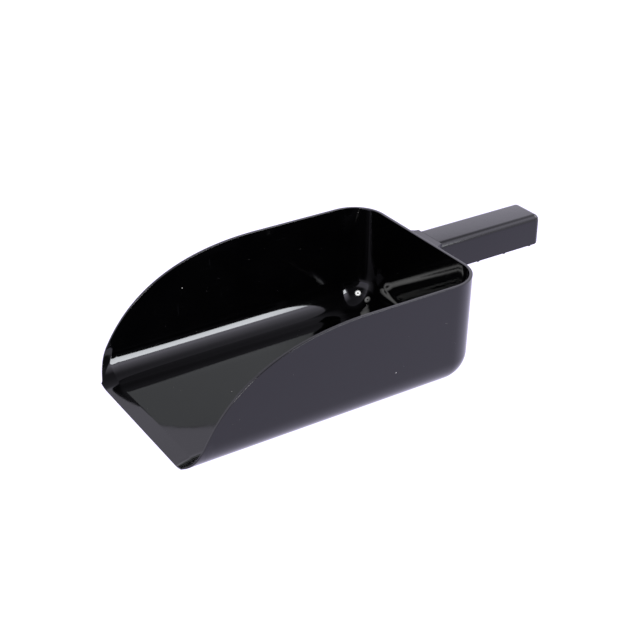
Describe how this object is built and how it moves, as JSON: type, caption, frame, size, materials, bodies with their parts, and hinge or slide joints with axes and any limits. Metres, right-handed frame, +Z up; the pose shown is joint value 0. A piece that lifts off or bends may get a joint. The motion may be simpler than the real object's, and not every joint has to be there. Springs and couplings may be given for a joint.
{
  "type": "feed scoop",
  "caption": "Black plastic feed scoop: open bowl with a flat floor, swept side rims and a thin straight lip, and a straight hollow grip behind it.",
  "frame": {"origin": "on the resting plane, under the middle of the overall length, on the plane of symmetry", "axes": "+X from the pouring lip to the end of the grip, +Y to the left of someone who holds the grip, +Z up"},
  "size_m": [0.332, 0.15, 0.081],
  "materials": {
    "bowl_plastic": "deep black moulded plastic, glossy, with faint flow marks, fine scratches and a few specks of dust",
    "grip_plastic": "black moulded plastic, satin gloss, lightly scuffed by handling",
    "core_plastic": "black moulded plastic, plain tool finish"
  },
  "bodies": {
    "root": {"bowl_shell": "bowl_plastic", "handle_channel": "grip_plastic", "handle_rib_core": "core_plastic"}
  },
  "joints": []
}
